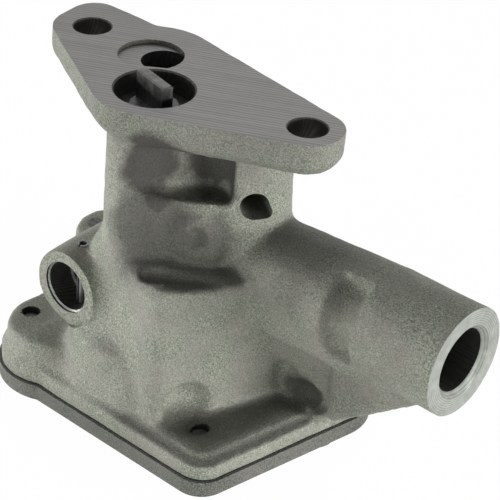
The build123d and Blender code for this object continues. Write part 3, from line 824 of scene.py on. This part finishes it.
def painted_shade():
    """Painted shade, 1 where darkest: on upward faces near the neck's foot, below the flange and in hollows.
    """
    tree, _, out = group("painted_shade", {}, ("Mask",))
    coords = add(tree, "TexCoord")
    faces = add(tree, "SeparateXYZ")
    tree.links.new(coords.outputs["Normal"], faces.inputs[0])
    place = add(tree, "SeparateXYZ")
    tree.links.new(coords.outputs["Object"], place.inputs[0])
    from_left = spread(tree, place.outputs["X"], -0.002, 0.008)
    near_foot = combine(tree, "MULTIPLY", from_left, spread(tree, place.outputs["X"], 0.066, 0.05))
    # Painted shade on faces that look up near the neck's foot.
    mask = combine(tree, "MULTIPLY", near_foot, spread(tree, faces.outputs["Z"], 0.35, 0.8, 0.0, 0.65))
    # Painted shade that grows darker towards the flange, away from the table's light.
    mask = combine(tree, "MAXIMUM", mask, spread(tree, place.outputs["Z"], -0.03, -0.008, 0.0, 0.28))
    cloud = noise_value(tree, coords.outputs["Object"], 110.0, 4.0)
    ragged = combine(tree, "MULTIPLY", combine(tree, "SUBTRACT", cloud, 0.5), SHADE_RAGGED)
    # Painted shade in the hollows and pockets, one ball of influence each.
    for x, y, z, core, reach, most in SHADE_SPOTS:
        away = add(tree, "VectorMath", operation="DISTANCE")
        tree.links.new(coords.outputs["Object"], away.inputs[0])
        away.inputs[1].default_value = Vector((x, y, z)) * MM
        edge = combine(tree, "ADD", away.outputs["Value"], ragged)
        mask = combine(tree, "MAXIMUM", mask, spread(tree, edge, core * MM, reach * MM, most, 0.0))
    tree.links.new(mask, out.inputs["Mask"])
    return tree

painted_shade_group = painted_shade()
print(painted_shade_group.name, len(painted_shade_group.nodes))

# %% Building blocks of a material
def effect(tree, which, **values):
    """One of the groups in a material's tree, with its own values."""
    node = tree.nodes.new("ShaderNodeGroup")
    node.node_tree = which
    for key, value in values.items():
        node.inputs[key].default_value = value
    return node.outputs

def tint(tree, factor, one, two):
    """A colour between two colours or outputs."""
    node = add(tree, "Mix", data_type="RGBA")
    tree.links.new(factor, node.inputs[0])
    for socket, value in zip((node.inputs[6], node.inputs[7]), (one, two)):
        if isinstance(value, tuple):
            socket.default_value = (*value, 1)
        else:
            tree.links.new(value, socket)
    return node.outputs[2]

def new_material(name, roughness, metallic, specular=0.5):
    """A material, its tree and its shader."""
    material = bpy.data.materials.new(name)
    material.use_nodes = True
    shader = material.node_tree.nodes["Principled BSDF"]
    shader.inputs["Roughness"].default_value = roughness
    shader.inputs["Metallic"].default_value = metallic
    shader.inputs["Specular IOR Level"].default_value = specular
    return material, material.node_tree, shader

def bump(tree, shader, height, distance):
    """Lets a height tilt the light on the surface, by a depth in metres."""
    node = add(tree, "Bump", Strength=1.0, Distance=distance)
    tree.links.new(height, node.inputs["Height"])
    tree.links.new(node.outputs[0], shader.inputs["Normal"])

print("material helpers ready")

# %% [markdown]
# ## Cast skin
# Sand leaves pebbles that catch the light one by one, so the skin reads as light specks over a darker
# ground. The cover plate is the same iron from another mould, a little darker and coarser.

# %% Cast skins
def cast_skin(name, dark, light, warm, coarse, depth, painted_shade_too=False):
    """Sand-cast iron: a dark ground, light specks, warm and dark stains, pits, and painted shade if it has
    any.
    """
    material, tree, shader = new_material(name, 0.62, 0.25, 0.4)
    grain = effect(tree, sand_grain, Coarse=coarse)
    cloud = effect(tree, stains)
    color = tint(tree, grain["Speck"], dark, light)
    color = tint(tree, combine(tree, "MULTIPLY", cloud["Warm"], 0.45), color, warm)
    shade = combine(tree, "MULTIPLY", cloud["Dark"], 0.25)
    color = tint(tree, shade, color, tuple(c * 0.45 for c in dark))
    color = tint(tree, combine(tree, "MULTIPLY", grain["Pits"], 0.22), color, tuple(c * 0.3 for c in dark))
    if painted_shade_too:
        # Painted shade: the mask tints the colour nearly to black.
        color = tint(tree, effect(tree, painted_shade_group)["Mask"], color, tuple(c * 0.12 for c in warm))
    tree.links.new(color, shader.inputs["Base Color"])
    tree.links.new(spread(tree, grain["Speck"], 0, 1, 0.7, 0.5), shader.inputs["Roughness"])
    pits = combine(tree, "MULTIPLY", grain["Pits"], 0.5)
    bump(tree, shader, combine(tree, "SUBTRACT", grain["Height"], pits), depth)
    return material

CAST_DARK, CAST_LIGHT, CAST_WARM = (0.155, 0.168, 0.132), (0.42, 0.445, 0.365), (0.31, 0.285, 0.26)
COVER_DARK, COVER_LIGHT, COVER_WARM = (0.055, 0.06, 0.05), (0.22, 0.235, 0.20), (0.19, 0.175, 0.16)
# The casting's skin carries the painted shade, and the cover's skin does not.
cast_iron = cast_skin("cast_iron_skin", CAST_DARK, CAST_LIGHT, CAST_WARM, 800.0, 0.00022, painted_shade_too=True)
cover_iron = cast_skin("cover_skin", COVER_DARK, COVER_LIGHT, COVER_WARM, 700.0, 0.0003)
print(cast_iron.name, cover_iron.name)

# %% [markdown]
# ## Machined iron
# The milled mounting face keeps the cutter's lines, and the tube's end and the bores are turned, so
# their lines are rings. Real grooves would need millions of faces, so they are a pattern that tints,
# polishes and bumps the surface.

# %% Machined iron
def milled_skin():
    """The mounting face and the joint, with lines at the angle of the cutter's path."""
    material, tree, shader = new_material("milled_face", 0.42, 0.75, 0.5)
    lines = effect(tree, cutter_lines, Turn=math.radians(62))
    cloud = effect(tree, stains, Size=70.0, Seed=3.0)
    color = tint(tree, lines["Lines"], (0.125, 0.123, 0.12), (0.185, 0.182, 0.177))
    color = tint(tree, combine(tree, "MULTIPLY", cloud["Dark"], 0.3), color, (0.12, 0.118, 0.114))
    tree.links.new(color, shader.inputs["Base Color"])
    tree.links.new(spread(tree, lines["Lines"], 0, 1, 0.5, 0.36), shader.inputs["Roughness"])
    bump(tree, shader, lines["Depth"], 0.00005)
    return material

def turned_skin(name, dark, light, roughness, metallic, centre):
    """A bored or faced surface, with rings round a centre in millimetres."""
    material, tree, shader = new_material(name, roughness, metallic)
    rings = effect(tree, lathe_rings, X=centre[0] * MM, Y=centre[1] * MM, Z=centre[2] * MM)
    cloud = effect(tree, stains, Size=90.0, Seed=5.0)
    color = tint(tree, rings["Lines"], dark, light)
    color = tint(tree, combine(tree, "MULTIPLY", cloud["Dark"], 0.35), color, tuple(c * 0.5 for c in dark))
    tree.links.new(color, shader.inputs["Base Color"])
    polish = spread(tree, rings["Lines"], 0, 1, roughness + 0.08, roughness - 0.05)
    tree.links.new(polish, shader.inputs["Roughness"])
    bump(tree, shader, rings["Depth"], 0.00004)
    return material

milled_iron = milled_skin()
tube_centre, shaft_centre = (0, TUBE_Y, TUBE_Z), (0, 0, 0)
faced_iron = turned_skin("faced_end", (0.22, 0.235, 0.21), (0.40, 0.42, 0.38), 0.45, 0.5, tube_centre)
bored_iron = turned_skin("bored_hole", (0.035, 0.034, 0.032), (0.09, 0.088, 0.083), 0.5, 0.5, shaft_centre)
print(milled_iron.name, faced_iron.name, bored_iron.name)

# %% [markdown]
# ## Where the skins meet
# The casting is one mesh, so each of its faces is told which skin it wears. Picking faces by hand would be
# lost at the next change of a shape. The distance from each bore's axis finds them again every time.

# %% Give each face of the casting its skin
CAST, MILLED, FACED, BORED = range(4)

def distance_from(axis, point, centre):
    """How far a point lies from an axis through a centre, in millimetres."""
    away = [point[i] / MM - centre[i] for i in range(3) if i != "XYZ".index(axis)]
    return math.hypot(*away)

def skin_of(point, normal):
    """The skin of a face, each limit a little wider than the cut that made the face."""
    x, y, z = (c / MM for c in point)
    from_shaft = distance_from("Z", point, shaft_centre)
    from_tube = distance_from("X", point, tube_centre)
    if (abs(z) < 0.05 and normal.z > 0.9) or (abs(z - JOINT) < 0.05 and normal.z < -0.9):
        return MILLED
    if -1.25 < z < -0.1 and normal.z > 0.9 and distance_from("Z", point, (*RECESS, 0)) < 9:
        return MILLED
    if abs(x - TUBE_END) < 0.05 and normal.x > 0.9:
        return FACED
    if x > 66 and from_tube < 8.75:
        return BORED
    if x > 88 and from_tube < 10.3:
        return FACED
    if y < 9 and distance_from("Y", point, (RELIEF_X, 0, RELIEF_Z)) < 7.5:
        return FACED if normal.y < -0.4 else BORED
    if z < -0.05 and from_shaft < (10.9 if z > -6.2 else 6.6):
        return BORED
    if -13 < z < -0.05 and any(distance_from("Z", point, (*spot, 0)) < 5.5 for spot in BOLTS):
        return BORED
    if distance_from("Z", point, (*OUTLET, 0)) < 6.3:
        return BORED
    if z < -70 and any(distance_from("Z", point, (*spot, 0)) < 2.7 for spot in SCREWS):
        return BORED
    if z < -74.3 and min(from_shaft, distance_from("Z", point, (0, GEAR_SPACING, 0))) < 17.6:
        return BORED
    return CAST

for material in (cast_iron, milled_iron, faced_iron, bored_iron):
    casting.data.materials.append(material)
for face in casting.data.polygons:
    face.material_index = skin_of(face.center, face.normal)
    face.use_smooth = True
casting.data.set_sharp_from_angle(angle=math.radians(40))
print("machined faces", sum(face.material_index > 0 for face in casting.data.polygons))

# %% [markdown]
# ## Steel and paper
# The steel pieces are ground, hobbed, drawn or rolled, and each way leaves its own colour and scratches.
# One material for all would look like a toy, and a group for each would repeat itself. So one function
# makes them from a few values. The gasket is black paper with a fine grain.

# %% Steels
def steel(name, dark, light, roughness, metallic, lines_scale, stain=0.3):
    """A steel with its own colours, stretched scratches and stains."""
    material, tree, shader = new_material(name, roughness, metallic)
    scratch = effect(tree, cutter_lines, Scale=lines_scale, Turn=0.4)
    cloud = effect(tree, stains, Size=160.0, Seed=lines_scale * 0.01)
    color = tint(tree, scratch["Lines"], dark, light)
    color = tint(tree, combine(tree, "MULTIPLY", cloud["Dark"], stain), color, tuple(c * 0.4 for c in dark))
    tree.links.new(color, shader.inputs["Base Color"])
    polish = spread(tree, cloud["Warm"], 0, 1, roughness - 0.06, roughness + 0.1)
    tree.links.new(polish, shader.inputs["Roughness"])
    bump(tree, shader, scratch["Depth"], 0.00003)
    return material

print("steel helper ready")

# %% The gasket, and which piece wears which finish
def gasket_paper():
    """Black paper, dull and finely grained."""
    material, tree, shader = new_material("gasket_paper", 0.85, 0.0, 0.2)
    grain = effect(tree, sand_grain, Fine=2600.0, Coarse=900.0)
    color = tint(tree, grain["Speck"], (0.008, 0.008, 0.009), (0.03, 0.03, 0.03))
    tree.links.new(color, shader.inputs["Base Color"])
    bump(tree, shader, grain["Height"], 0.00008)
    return material

FINISHES = {
    "cover_plate": cover_iron,
    "cover_gasket": gasket_paper(),
    "drive_shaft": steel("shaft_steel", (0.045, 0.044, 0.042), (0.16, 0.158, 0.155), 0.42, 0.8, 500.0, 0.5),
    "idler_shaft": steel("ground_pin", (0.45, 0.45, 0.46), (0.62, 0.62, 0.63), 0.25, 1.0, 700.0),
    "drive_gear": steel("gear_steel", (0.3, 0.3, 0.3), (0.5, 0.5, 0.5), 0.35, 0.9, 420.0),
    "idler_gear": steel("mate_gear_steel", (0.28, 0.28, 0.29), (0.48, 0.48, 0.49), 0.35, 0.9, 440.0),
    "relief_plunger": steel("plunger_steel", (0.4, 0.4, 0.4), (0.6, 0.6, 0.6), 0.28, 1.0, 600.0),
    "relief_spring": steel("spring_steel", (0.2, 0.19, 0.18), (0.4, 0.39, 0.37), 0.35, 0.9, 900.0),
    "relief_retaining_pin": steel("rolled_pin", (0.14, 0.14, 0.14), (0.3, 0.3, 0.3), 0.4, 0.9, 800.0),
    "cover_screw": steel("screw_steel", (0.07, 0.07, 0.07), (0.16, 0.16, 0.16), 0.38, 0.7, 650.0),
    "cover_lock_washer": steel("washer_steel", (0.3, 0.3, 0.29), (0.5, 0.5, 0.48), 0.4, 0.9, 750.0),
}
print("finishes", [material.name for material in FINISHES.values()])

# %% Dress the other pieces
def dress(obj, material):
    """The piece wears one material."""
    obj.data.materials.clear()
    obj.data.materials.append(material)

for name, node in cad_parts.items():
    for start, material in FINISHES.items():
        if name.startswith(start):
            dress(node, material)
dress(spring, FINISHES["relief_spring"])
print("materials", len(bpy.data.materials))
